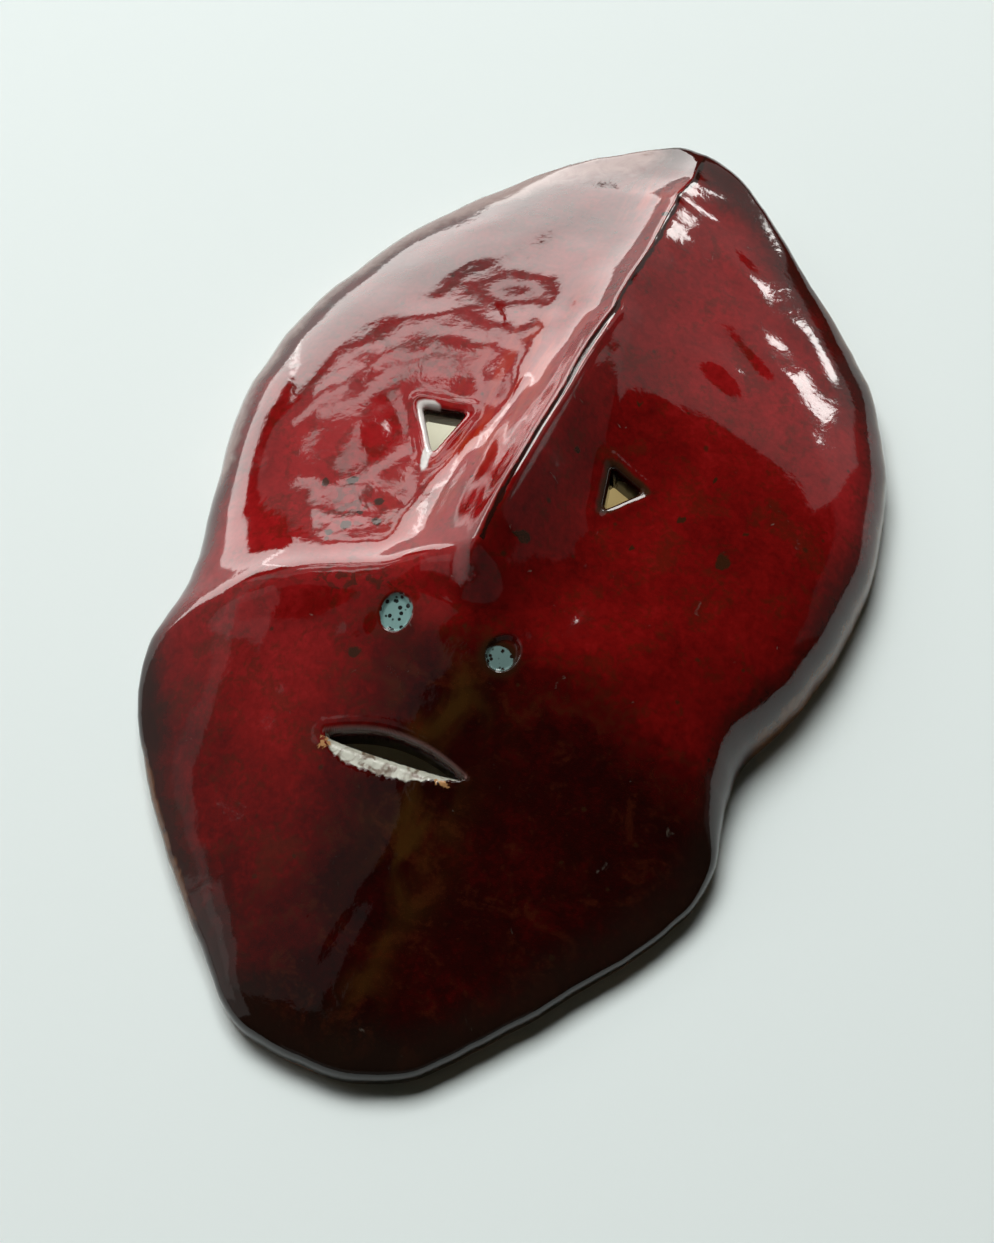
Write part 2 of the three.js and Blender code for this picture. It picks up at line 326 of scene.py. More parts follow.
def relief(x, y):
    waves = SAG_HEIGHT * smooth_noise(x, y, SAG_SIZE, 1.0)
    waves = waves + WAVE_HEIGHT * smooth_noise(x, y, WAVE_SIZE, 4.0)
    waves = waves + RIPPLE_HEIGHT * smooth_noise(x, y, RIPPLE_SIZE, 7.0)
    swirls = SWIRL_HEIGHT * patch(x, y, -28, 46, 20, 26) * marbled_noise(x, y, SWIRL_SIZE, 2.0)
    swirls += 0.04 * patch(x, y, 16, 72, 16, 18) * marbled_noise(x, y, 6.0, 5.0)
    beside_nose = bell(x + 9, 7) * smoothstep(y, -16, 0) * (1 - smoothstep(y, 38, 66))
    across = x + 0.1 * y + 1.6 * smooth_noise(x, y, 13, 9.0)
    folds = NOSE_FOLD_HEIGHT * beside_nose * np.sin(across / NOSE_FOLD_PITCH * 2 * math.pi)
    crest = y + 19 + 0.2 * np.abs(x) + 0.0035 * x * x
    cheek = CHEEK_FOLD_HEIGHT * bell(crest, 4) * bell(x + 28, 15)
    dents = sum(h * bell(np.hypot(x - u, y - v), r) for u, v, r, h in DENTS)
    for u, v, length, width, h, angle in LONG_FOLDS:
        dents = dents + h * patch(x, y, u, v, length, width, angle)
    streaks = 0.05 * np.sin((x - 0.2 * y) * 1.1) * patch(x, y, 0, -82, 26, 20)
    beside = x - ridge_x(y) - GROOVE_SIDE
    bank = BANK_HEIGHT * bell(beside - BANK_SIDE, BANK_WIDTH)
    groove = bank - GROOVE_DEPTH * bell(beside, GROOVE_WIDTH)
    groove = groove * smoothstep(y, -9, -3) * (1 - smoothstep(y, 44, 60))
    right = np.clip(x, 0, None) / FLANK_REACH
    beside_ridge = smoothstep(y, -16, -4) * (1 - smoothstep(y, 30, 62))
    flank = FLANK_FULLNESS * right * np.exp(1 - right) * beside_ridge
    return waves + swirls + folds + cheek + dents + streaks + groove + flank


# %% [markdown]
# ## From a sphere to a shell
#
# A closed shell has the topology of a sphere. So the mesh starts as a UV
# sphere: its top half becomes the face, the rows at its equator wrap around
# the rim, and its lower half becomes the hollow. Every vertex keeps its row
# and column, and the two numbers give its place on the plan.

# %% Sphere rows and columns
SEGMENTS, ROWS = 256, 150
OUTER_ROWS, INNER_ROWS = 90, 46
RIM_ROWS = ROWS - OUTER_ROWS - INNER_ROWS

shell = bmesh.new()
bmesh.ops.create_uvsphere(shell, u_segments=SEGMENTS, v_segments=ROWS, radius=1.0)
unit = np.array([v.co for v in shell.verts])
turn = np.arctan2(unit[:, 0], unit[:, 1]) / (2 * math.pi) % 1.0
row = np.round(np.arccos(np.clip(unit[:, 2], -1, 1)) / math.pi * ROWS)
print("sphere:", len(shell.verts), "vertices")

# %% [markdown]
# The place on the plan comes from the column, which fixes the direction from
# the nose tip, and from the row, which fixes how far out it lies. Rows crowd
# together towards the edge, where the wall turns down. At the point of the
# forehead the rim is lifted and thicker, as it is when the clay is pinched.
# Two sizes of noise make the rim waver by a few tenths of a millimetre.

# %% Plan place of every vertex
WAVER_HEIGHT, WAVER_SIZE = 0.30, 11
FINE_WAVER_HEIGHT, FINE_WAVER_SIZE = 0.16, 4.5


def shoulder(share):
    """How much of its height the face keeps on the way out to the rim."""
    return np.sqrt(np.clip(1 - share**SHOULDER_POWER, 0, 1))


def spacing(step):
    """Shares of the way out that crowd together towards the rim."""
    return 0.5 * step + 0.5 * np.sin(step * math.pi / 2)


ray = outline(turn) - (0, NOSE_TIP_Y)
reach = np.linalg.norm(ray, axis=1)
near_apex = 1 - smoothstep(np.minimum(turn, 1 - turn), 0, APEX_REACH)
foot = APEX_LIFT * near_apex
rim_height = RIM_HEIGHT + APEX_THICKENING * near_apex
skin = np.where(row <= OUTER_ROWS, 1.0, np.where(row >= OUTER_ROWS + RIM_ROWS, -1.0, 0.0))

around = np.clip((row - OUTER_ROWS) / RIM_ROWS, 0, 1) * math.pi
squared = np.sign(np.cos(around)) * np.abs(np.cos(around)) ** 0.45
share_out = spacing(np.clip(row / OUTER_ROWS, 0, 1))
share_in = spacing(np.clip((ROWS - row) / INNER_ROWS, 0, 1))
share_rim = 1 - RIM_WIDTH * (1 - squared) / 2 / reach
edge_x, edge_y = outline(turn).T
waver = WAVER_HEIGHT * smooth_noise(edge_x, edge_y, WAVER_SIZE, 30.0)
waver = waver + FINE_WAVER_HEIGHT * smooth_noise(edge_x, edge_y, FINE_WAVER_SIZE, 33.0)
on_plan = np.select([skin > 0, skin < 0], [share_out, share_in * (1 - RIM_WIDTH / reach)], share_rim)
share = np.select([skin > 0, skin < 0], [share_out, share_in], 1.0)
rim_top = np.where(around < math.pi / 2, 1.0, 0.5)
rim_z = foot + rim_height * rim_top * (1 - np.abs(np.sin(around)) ** 0.6)
near_rim = np.select([skin > 0, skin < 0], [smoothstep(share_out, 0.8, 1), 0.0], (1 + squared) / 2)
on_plan = on_plan + waver * near_rim / reach
plan = np.array([0, NOSE_TIP_Y]) + ray * on_plan[:, None]

layers = {}
for name in ("share", "foot", "rim", "skin", "cut"):
    layers[name] = shell.verts.layers.float.new(name)
for name, values in (("share", share), ("foot", foot), ("rim", rim_height), ("skin", skin)):
    for vert, value in zip(shell.verts, values):
        vert[layers[name]] = value
for vert, (px, py), pz in zip(shell.verts, plan, rim_z):
    vert.co = (px, py, pz)

# %% [markdown]
# ## Finer mesh where the detail is
#
# Lips, nostrils and the pinched ridge need cells of about 0.4 mm, the open
# cheeks don't. So only the edges near a cut line or the ridge are subdivided,
# twice outside and once inside. The layers made above are interpolated with
# the new vertices, so each of them still knows its share of the way out.

# %% Refine near cuts, nostrils and ridge
def plan_of(verts):
    return np.array([(v.co.x, v.co.y) for v in verts]).T


def layer_of(verts, name):
    return np.array([v[layers[name]] for v in verts])


def nearest_cut(x, y):
    return np.min([np.abs(hole(x, y)) for hole in HOLES], axis=0)


def refine(side, near_cut, near_ridge):
    verts = list(shell.verts)
    px, py = plan_of(verts)
    skin_now, share_now = layer_of(verts, "skin"), layer_of(verts, "share")
    close = nearest_cut(px, py) < near_cut
    if side > 0:
        dips = np.minimum(nostril_share(px, py, -1), nostril_share(px, py, 1))
        close |= np.abs(dips - 0.9) * 3.5 < near_cut
        close |= (np.abs(px) < near_ridge) & (py > NOSE_TIP_Y - 4)
    close &= (skin_now == side) & (share_now < 0.97)
    chosen = {v for v, flag in zip(verts, close) if flag}
    edges = [e for e in shell.edges if e.verts[0] in chosen and e.verts[1] in chosen]
    bmesh.ops.subdivide_edges(shell, edges=edges, cuts=1, use_grid_fill=True)


refine(1.0, 4.5, 3.2)
refine(1.0, 2.6, 1.7)
refine(-1.0, 3.0, 0.0)
print("refined:", len(shell.verts), "vertices")

# %% [markdown]
# ## Cutting the openings
#
# Faces whose middle lies inside a hole are removed from both skins, and so
# are faces that would leave the border touching itself. The ragged border is
# then pulled onto the drawn cut line, by stepping along the slope of the
# distance, and the two borders of each hole are bridged. That gives the cut
# its clay wall.

# %% Remove, snap and bridge
STEP = 0.01


def hole_distance(x, y):
    return np.min([hole(x, y) for hole in HOLES], axis=0)


middles = np.array([f.calc_center_median()[:2] for f in shell.faces]).T
skins = np.array([f.verts[0][layers["skin"]] for f in shell.faces])
inside = (hole_distance(*middles) < 0) & (skins != 0)
gone = [f for f, flag in zip(shell.faces, inside) if flag]
bmesh.ops.delete(shell, geom=gone, context="FACES")
pinched = [v for v in shell.verts if sum(e.is_boundary for e in v.link_edges) > 2]
while pinched:
    touching = list({f for v in pinched for f in v.link_faces})
    bmesh.ops.delete(shell, geom=touching, context="FACES")
    pinched = [v for v in shell.verts if sum(e.is_boundary for e in v.link_edges) > 2]
small_gaps = bmesh.ops.holes_fill(shell, edges=[e for e in shell.edges if e.is_boundary], sides=12)
print("small gaps closed:", len(small_gaps["faces"]))

border = [v for v in shell.verts if v.is_boundary]
for _ in range(4):
    bx, by = plan_of(border)
    gap = hole_distance(bx, by)
    slope_x = (hole_distance(bx + STEP, by) - gap) / STEP
    slope_y = (hole_distance(bx, by + STEP) - gap) / STEP
    for vert, move_x, move_y in zip(border, gap * slope_x, gap * slope_y):
        vert.co.x -= move_x
        vert.co.y -= move_y

fringe = {e.other_vert(v) for v in border for e in v.link_edges} - set(border)
bmesh.ops.smooth_vert(shell, verts=list(fringe), factor=0.5, use_axis_x=True, use_axis_y=True)

for vert in border:
    vert[layers["cut"]] = 1.0
for hole in HOLES:
    px, py = plan_of(border)
    own = {v for v, gap in zip(border, np.abs(hole(px, py))) if gap < 0.5}
    edges = [e for e in shell.edges if e.is_boundary and e.verts[0] in own]
    bmesh.ops.bridge_loops(shell, edges=edges)
print("open edges left:", sum(e.is_boundary for e in shell.edges))

# %% [markdown]
# ## Heights, lips and pools
#
# With every vertex in its place on the plan, one function now lifts it to its
# height. Near a cut the skin rolls over by a quarter circle, after a slight
# swelling that the knife pushes up. The lower lip of the mouth is cut back to
# a slope, and each nostril is a dip with a level floor.

# %% Lift the vertices
LIP_RADIUS, LIP_SWELL = 0.9, 0.3
MOUTH_LIP_WIDTH, MOUTH_LIP_DEPTH = 4.2, 2.6
NOSTRIL_DEPTH = 1.1
INNER_LIP_RADIUS = 0.8


def rounded(distance, radius):
    """Drop of a quarter circle that ends at distance 0."""
    side = 1 - np.clip(distance / radius, 0, 1)
    return radius * (1 - np.sqrt(1 - side**2))


def mouth_slope(x, y):
    """1 at the lower edge of the slit, 0 at the top of the sloping lip."""
    u, v = mouth_axes(x, y)
    taper = np.clip(1 - (2 * u / MOUTH_LENGTH) ** 2, 0, 1)
    ragged = 0.14 * np.sin(u * 2.1) + 0.10 * np.sin(u * 4.7 + 1)
    width = MOUTH_LIP_WIDTH * (1 - 0.03 * u) * taper**0.6 + 0.4 + ragged
    depth = 1 - np.clip(mouth_distance(x, y) / width, 0, 1)
    return np.where(v < 0, depth, 0) * taper**0.3


def outer_z(x, y, share, foot, rim):
    start = foot + rim
    crest_radius = blend(CREST_ROUND, CREST_SHARP, smoothstep(y, 30, 52))
    body = face_height(x - ridge_x(y), y, crest_radius)
    z = start + (body - start) * shoulder(share)
    z += relief(x, y) * (1 - smoothstep(share, 0.86, 0.995))
    gap = hole_distance(x, y)
    z += LIP_SWELL * bell(gap - 1.7, 1.1) - rounded(gap, LIP_RADIUS)
    z -= MOUTH_LIP_DEPTH * mouth_slope(x, y)
    dip = np.minimum(nostril_share(x, y, -1), nostril_share(x, y, 1))
    return z - NOSTRIL_DEPTH * (1 - smoothstep(dip, 0.72, 1.04))


def inner_z(x, y, share, foot, rim):
    start = foot + 0.5 * rim
    ceiling = face_height(x, y, INNER_SOFTNESS) - WALL
    z = start + (ceiling - start) * shoulder(share)
    z += 0.3 * smooth_noise(x, y, 14, 20.0) * (1 - smoothstep(share, 0.8, 0.98))
    return z + rounded(hole_distance(x, y), INNER_LIP_RADIUS)


verts = list(shell.verts)
px, py = plan_of(verts)
skin, share = layer_of(verts, "skin"), layer_of(verts, "share")
foot, rim = layer_of(verts, "foot"), layer_of(verts, "rim")
flat_z = np.array([v.co.z for v in verts])
height = np.select(
    [skin > 0.5, skin < -0.5],
    [outer_z(px, py, share, foot, rim), inner_z(px, py, share, foot, rim)],
    flat_z,
)
for vert, z in zip(verts, height):
    vert.co.z = z
bmesh.ops.triangulate(shell, faces=[f for f in shell.faces if len(f.verts) > 4])
bmesh.ops.recalc_face_normals(shell, faces=shell.faces)
middle = (LOW + HIGH) / 2
low_x, high_x, low_y, high_y = px.min(), px.max(), py.min(), py.max()
shift = Vector((middle[0] - (low_x + high_x) / 2, middle[1] - (low_y + high_y) / 2, 0))
bmesh.ops.translate(shell, vec=shift, verts=shell.verts)
print("triangles:", sum(len(f.verts) - 2 for f in shell.faces), "shift", shift)

# %% [markdown]
# ## What the glaze needs to know
#
# A shader can't tell a ridge from a cheek. So the script writes a few named numbers on the vertices:
# how thick and dark the glaze lies, with painted shade added, how near the pinched ridge is, where
# clay was cut, where the rim begins, and where painted highlights and a painted reflection lie. The
# material reads them and breaks their smooth edges up with noise.

# %% Paint the numbers on the mesh
MM = 0.001


def glaze_dark_and_shade(x, y):
    """0 where the red is bright, 1 where it is nearly black. Partly the glaze lies thick there,
    partly it is painted shade on the jaw and the right side, which turn away from the light.
    """
    # Painted shade: below the cheek fold, on the jaw and on the right side the red is darkened
    # because these turn away from the light.
    below_fold = smoothstep(-y - 0.15 * x, 17, 36)
    jaw = 0.06 * below_fold + 0.66 * below_fold * smoothstep(x, -34, 8)
    left_jaw = 0.42 * smoothstep(-y - 0.5 * x, 46, 84)
    chin = 0.2 * smoothstep(-y, 88, 103)
    upper_right = 1 - 0.6 * smoothstep(y + 0.4 * x, 38, 66)
    right = 0.30 * smoothstep(x, -4, 6) * (1 - below_fold) * upper_right
    forehead = 0.25 * smoothstep(y - 0.5 * x, 30, 75) * smoothstep(-x, -4, 8)
    nose = 0.06 * patch(x, y, 6, -10, 9, 16)
    return np.clip(0.08 + np.maximum(jaw, left_jaw) + chin + right + forehead + nose, 0, 1)


IRON_SPOTS = [
    (-28.8, -12.4, 1.6), (-32.4, -1.8, 1.3), (-25.2, -4.9, 1.3), (-23.5, -9.8, 1.4),
    (-37.3, -4.0, 1.0), (-27.5, -8.5, 0.9), (-31.0, -15.5, 0.9), (-15.1, -36.8, 1.6),
    (6.4, -8.1, 1.7), (40.7, 9.4, 1.9), (13.5, 33.9, 1.3), (42.3, 17.5, 1.1),
    (29.9, 14.5, 1.0), (7.4, 15.6, 0.9), (24.0, 4.0, 0.8), (33.0, 26.0, 0.8), (-0.5, 82.8, 1.0),
]


def iron_spots(x, y):
    return np.max([bell(np.hypot(x - u, y - v), size) for u, v, size in IRON_SPOTS], axis=0)


def olive_runs(x, y):
    upper = 1.2 * patch(x, y, 5, -41, 8, 10)
    middle = 1.1 * patch(x, y, 8, -62, 7, 9, -0.1)
    lower = patch(x, y, 9.5, -75, 6, 9) + 0.8 * patch(x, y, 12, -93, 3.5, 12)
    return upper + middle + lower


def upper_left(x, y):
    """1 along the upper left edge, 0 on the rest of the face."""
    return smoothstep(y, -22, 4) * smoothstep(-x, 2, 14)


def milky_run_and_highlight(x, y):
    """White on the left edge of the left eye: a run of milky glaze at its lower tip, and a painted
    highlight along the lip on the side that faces the light.
    """
    eye_x, eye_y, *_ = EYES[0]
    left_side = smoothstep(-(x - eye_x) * 0.9 - (y - eye_y) * 0.25, -1.0, 1.5)
    ring = bell(eye_distance(x, y, *EYES[0]), 1.2) * left_side
    return np.maximum(ring, patch(x, y, eye_x + 1.1, eye_y - 8.8, 0.9, 3.4, 0.25))


def mouth_ends(x, y):
    """Two small places where the glaze has gathered and crystallised."""
    u, v = mouth_axes(x, y)
    left = bell(np.hypot(u + MOUTH_LENGTH / 2 - 0.3, v + 1.6), 1.2)
    right = bell(np.hypot((u - MOUTH_LENGTH / 2 + 3.2) / 2.6, v + 2.8), 0.7)
    return np.maximum(left, right)


def right_pool(x, y):
    """The right nostril's pool fills only the lower part of the dip."""
    u, v = turned(x, y, NOSTRIL_SPREAD - 0.3, NOSTRIL_Y - 1.0, -0.25)
    return np.hypot(u / (NOSTRIL_WIDTH - 0.6), v / (NOSTRIL_LENGTH - 2.4)) * 2


def brown_rim(x, y):
    """Where the glaze has run off the edge: right of the brow, left of the chin."""
    beside_brow = smoothstep(x, 20, 40) * smoothstep(y, -30, -10)
    beside_chin = smoothstep(-x, 10, 30) * smoothstep(-y, 50, 70)
    return beside_brow + beside_chin


paint = {
    # Besides painted shade, dark holds a painted darker band just inside the upper left edge, a
    # painted reflection of the dark gap between the windows and the table.
    "dark": glaze_dark_and_shade(px, py) + 0.12 * upper_left(px, py) * smoothstep(share, 0.66, 0.82),
    # The pale edge on the upper left is a painted reflection of the windows.
    "rim_sheen": upper_left(px, py) * smoothstep(share, 0.87, 0.98) * (skin > -0.5),
    "ridge": np.where(py > NOSE_TIP_Y, np.abs(px - ridge_x(py) - GROOVE_SIDE), 9.0),
    "slope": mouth_slope(px, py) * (skin > 0.5),
    "left_dip": nostril_share(px, py, -1) + 9 * (skin < 0.5),
    "right_dip": right_pool(px, py) + 9 * (skin < 0.5),
    "brown_rim": brown_rim(px, py) * smoothstep(share, 0.955, 1.0) * (skin > -0.5),
    "hollow": (skin < -0.5).astype(float),
    "edge": np.where(skin > 0.5, share, 1.0) * (skin > -0.5),
    "iron": iron_spots(px, py) * (skin > 0.5),
    "rust": patch(px, py, -20, -25, 14, 3.5, 0.15) + 0.8 * patch(px, py, -30, -8, 9, 9),
    "olive": olive_runs(px, py),
    "ember": patch(px, py, -12, 24, 8, 30, -0.15) + 0.6 * patch(px, py, -6, 88, 7, 12),
    # White glaze run and painted highlight at the left eye.
    "milk_and_highlight": milky_run_and_highlight(px, py),
    "left_eye": bell(np.clip(eye_distance(px, py, *EYES[0]), 0, None), 2.0),
    "scorch": bell(np.clip(eye_distance(px, py, *EYES[1]), 0, None), 1.6),
    # Painted highlight along the roll of the upper lip.
    "upper_lip_highlight": bell(mouth_distance(px, py) - 0.4, 0.25) * (mouth_axes(px, py)[1] > 0),
    "amber": mouth_ends(px, py),
    "lift": height - foot,
}
bmesh.ops.scale(shell, vec=(MM, MM, MM), verts=shell.verts)
mesh = bpy.data.meshes.new("mask_shell")
shell.to_mesh(mesh)
shell.free()
mesh.shade_smooth()
for name, values in paint.items():
    attribute = mesh.attributes.new(name, "FLOAT", "POINT")
    attribute.data.foreach_set("value", values.astype(np.float32))
mask = bpy.data.objects.new("mask_shell", mesh)
bpy.context.scene.collection.objects.link(mask)
print("painted:", ", ".join(paint))

# %% [markdown]
# ## The glaze
#
# Copper-red glaze is a deep glass. Where it lies thick it is nearly black,
# where it runs thin over an edge it breaks to brown, and iron in the clay
# comes through as specks. All of it shares one mirror-like surface, so the
# colours go into a single shader: a base colour mixed in layers, a low
# roughness, and a faint bump for the orange peel.

# %% Small helpers for nodes
glaze = bpy.data.materials.new("oxblood_glaze")
glaze.use_nodes = True
tree = glaze.node_tree
shader = tree.nodes["Principled BSDF"]


def feed(socket, value):
    """Links a socket, or sets it to a plain number or colour."""
    if isinstance(value, bpy.types.NodeSocket):
        tree.links.new(value, socket)
    else:
        socket.default_value = value


def number(name):
    node = tree.nodes.new("ShaderNodeAttribute")
    node.attribute_name = name
    return node.outputs["Fac"]


def math_node(operation, a, b=0.0, clamp=False):
    node = tree.nodes.new("ShaderNodeMath")
    node.operation = operation
    node.use_clamp = clamp
    feed(node.inputs[0], a)
    feed(node.inputs[1], b)
    return node.outputs[0]


def ramp(value, low, high, start=0.0, end=1.0):
    """A smooth step from start to end while value goes from low to high."""
    node = tree.nodes.new("ShaderNodeMapRange")
    node.interpolation_type = "SMOOTHSTEP"
    feed(node.inputs["Value"], value)
    for socket, plain in zip(("From Min", "From Max", "To Min", "To Max"), (low, high, start, end)):
        node.inputs[socket].default_value = plain
    return node.outputs["Result"]


def layer(below, above, amount):
    """One colour laid over another."""
    node = tree.nodes.new("ShaderNodeMix")
    node.data_type = "RGBA"
    feed(node.inputs["Factor"], amount)
    feed(node.inputs[6], below)
    feed(node.inputs[7], above)
    return node.outputs[2]


coordinates = tree.nodes.new("ShaderNodeTexCoord").outputs["Object"]


def stretched(scale_x, scale_y, scale_z, angle=0.0):
    node = tree.nodes.new("ShaderNodeMapping")
    feed(node.inputs["Vector"], coordinates)
    node.inputs["Rotation"].default_value = (0, 0, angle)
    node.inputs["Scale"].default_value = (scale_x, scale_y, scale_z)
    return node.outputs[0]


def cloud(size, detail=3.0, warp=0.0, place=None):
    """Noise of a size in metres, about 0 to 1."""
    node = tree.nodes.new("ShaderNodeTexNoise")
    feed(node.inputs["Vector"], place or coordinates)
    node.inputs["Scale"].default_value = 1 / size
    node.inputs["Detail"].default_value = detail
    node.inputs["Distortion"].default_value = warp
    return node.outputs["Fac"]


def spots(size):
    """Distance to scattered points, in cells of a size in metres."""
    node = tree.nodes.new("ShaderNodeTexVoronoi")
    feed(node.inputs["Vector"], coordinates)
    node.inputs["Scale"].default_value = 1 / size
    return node.outputs["Distance"]


# %% [markdown]
# The red itself is a colour ramp from bright crimson to near black. It is driven by the painted
# darkness, which holds both thick glaze and painted shade, and moved up and down by two clouds. Slow
# clouds are where the glaze ran thick, quick ones are its curdled texture.

# %% Red body of the glaze
RED_STEPS = [
    (0.0, (0.330, 0.009, 0.011, 1)),
    (0.30, (0.165, 0.003, 0.003, 1)),
    (0.55, (0.060, 0.0010, 0.0010, 1)),
    (0.78, (0.018, 0.0005, 0.0005, 1)),
    (1.0, (0.004, 0.0005, 0.0005, 1)),
]
thick = math_node("SUBTRACT", cloud(0.021, 4, 0.6), 0.5)
curdle = math_node("SUBTRACT", cloud(0.0035, 5, 0.8), 0.5)
mottle = math_node("SUBTRACT", cloud(0.0011, 3, 0.4), 0.5)
tone = math_node("ADD", number("dark"), math_node("MULTIPLY", thick, 0.42))
tone = math_node("ADD", tone, math_node("MULTIPLY", curdle, 0.30))
tone = math_node("ADD", tone, math_node("MULTIPLY", mottle, 0.25), clamp=True)
red = tree.nodes.new("ShaderNodeValToRGB")
feed(red.inputs["Fac"], tone)
for step, (place, colour) in enumerate(RED_STEPS):
    if step > 1:
        red.color_ramp.elements.new(place)
    red.color_ramp.elements[step].position = place
    red.color_ramp.elements[step].color = colour
colour = red.outputs["Color"]
BROWN = (0.060, 0.010, 0.003, 1)
brown = ramp(math_node("ADD", cloud(0.009, 4, 1.2), math_node("MULTIPLY", mottle, 0.5)), 0.50, 0.72)
colour = layer(colour, BROWN, math_node("MULTIPLY", brown, 0.45))

# %% [markdown]
# Over the red lie the accidents of the kiln: orange-red streaks that follow
# the fold beside the nose, olive-brown patches on the muzzle, and iron specks
# that gather on the cheek.

# %% Streaks, olive patches and iron specks
EMBER = (0.42, 0.035, 0.012, 1)
OLIVE = (0.042, 0.018, 0.003, 1)
IRON = (0.026, 0.011, 0.004, 1)
streaks = cloud(0.0026, 3, 0.3, stretched(1.0, 0.16, 0.3, 0.08))
amount = math_node("MULTIPLY", ramp(streaks, 0.45, 0.62), number("ember"), clamp=True)
colour = layer(colour, EMBER, math_node("MULTIPLY", amount, 0.8))
patches = ramp(cloud(0.010, 3, 0.5, stretched(1.3, 0.7, 1.0, -0.2)), 0.38, 0.66)
amount = math_node("MULTIPLY", patches, number("olive"), clamp=True)
colour = layer(colour, OLIVE, math_node("MULTIPLY", amount, 0.7))
veins = ramp(cloud(0.0028, 4, 1.2), 0.52, 0.62)
amount = math_node("MULTIPLY", veins, number("rust"), clamp=True)
colour = layer(colour, IRON, math_node("MULTIPLY", amount, 0.75))
ragged = math_node("ADD", number("iron"), math_node("MULTIPLY", curdle, 1.1))
colour = layer(colour, IRON, ramp(ragged, 0.42, 0.62, 0.0, 0.9))
dust = ramp(math_node("ADD", spots(0.0065), math_node("MULTIPLY", curdle, 0.3)), 0.03, 0.10, 0.7, 0.0)
colour = layer(colour, IRON, dust)

# %% [markdown]
# On sharp edges the glass runs off and the body shows: a thin dark line down the ridge, a dark edge,
# brown where the glaze has run away, and bare clay low on the rim. On the upper left the edge turns
# pale, a painted reflection of the windows.

# %% Breaks on ridge and rim
BREAK = (0.012, 0.006, 0.004, 1)
CLAY = (0.150, 0.062, 0.028, 1)
PAINTED_SHEEN_RIM = (0.47, 0.31, 0.28, 1)
ridge_gap = math_node("ADD", number("ridge"), math_node("MULTIPLY", curdle, 1.4))
colour = layer(colour, BREAK, ramp(ridge_gap, 0.25, 0.6, 0.9, 0.0))
brink = math_node("ADD", number("edge"), math_node("MULTIPLY", curdle, 0.05))
edge_dark = ramp(math_node("ADD", brink, math_node("MULTIPLY", thick, 0.12)), 0.86, 0.98)
colour = layer(colour, BREAK, math_node("MULTIPLY", edge_dark, 0.8))
# Painted reflection: the upper left edge is lightened to pale pink as if it mirrored the windows.
sheen_amount = math_node("ADD", number("rim_sheen"), math_node("MULTIPLY", curdle, 0.7))
sheen_amount = math_node("ADD", sheen_amount, math_node("MULTIPLY", thick, 0.7))
colour = layer(colour, PAINTED_SHEEN_RIM, ramp(sheen_amount, 0.35, 1.05, 0.0, 0.62))
run_off = math_node("ADD", number("brown_rim"), math_node("MULTIPLY", curdle, 0.9))
colour = layer(colour, CLAY, ramp(run_off, 0.55, 0.95, 0.0, 0.9))
low = math_node("ADD", number("lift"), math_node("MULTIPLY", thick, 9.0))
bare = math_node("MULTIPLY", ramp(low, 1.2, 2.2, 1.0, 0.0), ramp(number("edge"), 0.97, 0.999))
colour = layer(colour, CLAY, bare)

# %% [markdown]
# Each cut has its own story. The left eye has a milky run of glaze with a painted highlight on its
# left lip, and a painted grey highlight ring inside. The right eye is scorched. The mouth's wall,
# like every cut wall, goes from wine red to black as it goes down, and that black is painted shade. A
# painted highlight lines the upper lip. Inside the hollow the clay is bare and buff.

# %% Colours of the cuts and the hollow
BUFF = (0.46, 0.33, 0.19, 1)
SPECK_AND_SHADE_BLACK = (0.006, 0.008, 0.008, 1)
SCORCH = (0.030, 0.014, 0.006, 1)
WINE = (0.045, 0.003, 0.003, 1)
MILK_AND_HIGHLIGHT = (0.72, 0.70, 0.68, 1)
LIP_HIGHLIGHT = (0.20, 0.10, 0.09, 1)
EYE_WALL_HIGHLIGHT = (0.50, 0.45, 0.42, 1)
scorch = math_node("ADD", number("scorch"), math_node("MULTIPLY", curdle, 0.8))
colour = layer(colour, SCORCH, ramp(scorch, 0.25, 0.75, 0.0, 0.9))
wall = ramp(number("cut"), 0.3, 0.8)
depth = number("hollow")
# Painted shade: the cut walls go from wine red to near black as they reach down towards the hollow.
wall_colour = layer(WINE, SPECK_AND_SHADE_BLACK, ramp(depth, 0.15, 0.6))
# Painted highlight: a light grey line round the left eye's wall, halfway down.
ring = math_node("MULTIPLY", ramp(depth, 0.42, 0.5), number("left_eye"))
wall_colour = layer(wall_colour, EYE_WALL_HIGHLIGHT, ring)
colour = layer(colour, wall_colour, wall)
# Painted highlight: a thin pink-grey line where the upper lip rolls over.
colour = layer(colour, LIP_HIGHLIGHT, math_node("MULTIPLY", number("upper_lip_highlight"), 0.85))
# The white on the left edge of the left eye is partly a run of milky glaze and partly a painted
# highlight on the side that faces the light.
milk_and_highlight = ramp(math_node("ADD", number("milk_and_highlight"), math_node("MULTIPLY", curdle, 0.5)), 0.25, 0.6)
milk_and_highlight = math_node("MULTIPLY", milk_and_highlight, ramp(depth, 0.02, 0.15, 1.0, 0.0))
colour = layer(colour, MILK_AND_HIGHLIGHT, milk_and_highlight)
hollow = math_node("MULTIPLY", number("hollow"), math_node("SUBTRACT", 1.0, wall))
colour = layer(colour, BUFF, hollow)

# %% [markdown]
# The sloping lower lip carries a ragged white glaze with rusty crystals at
# its ends. Each nostril holds a pool of pale blue with dark specks in it.

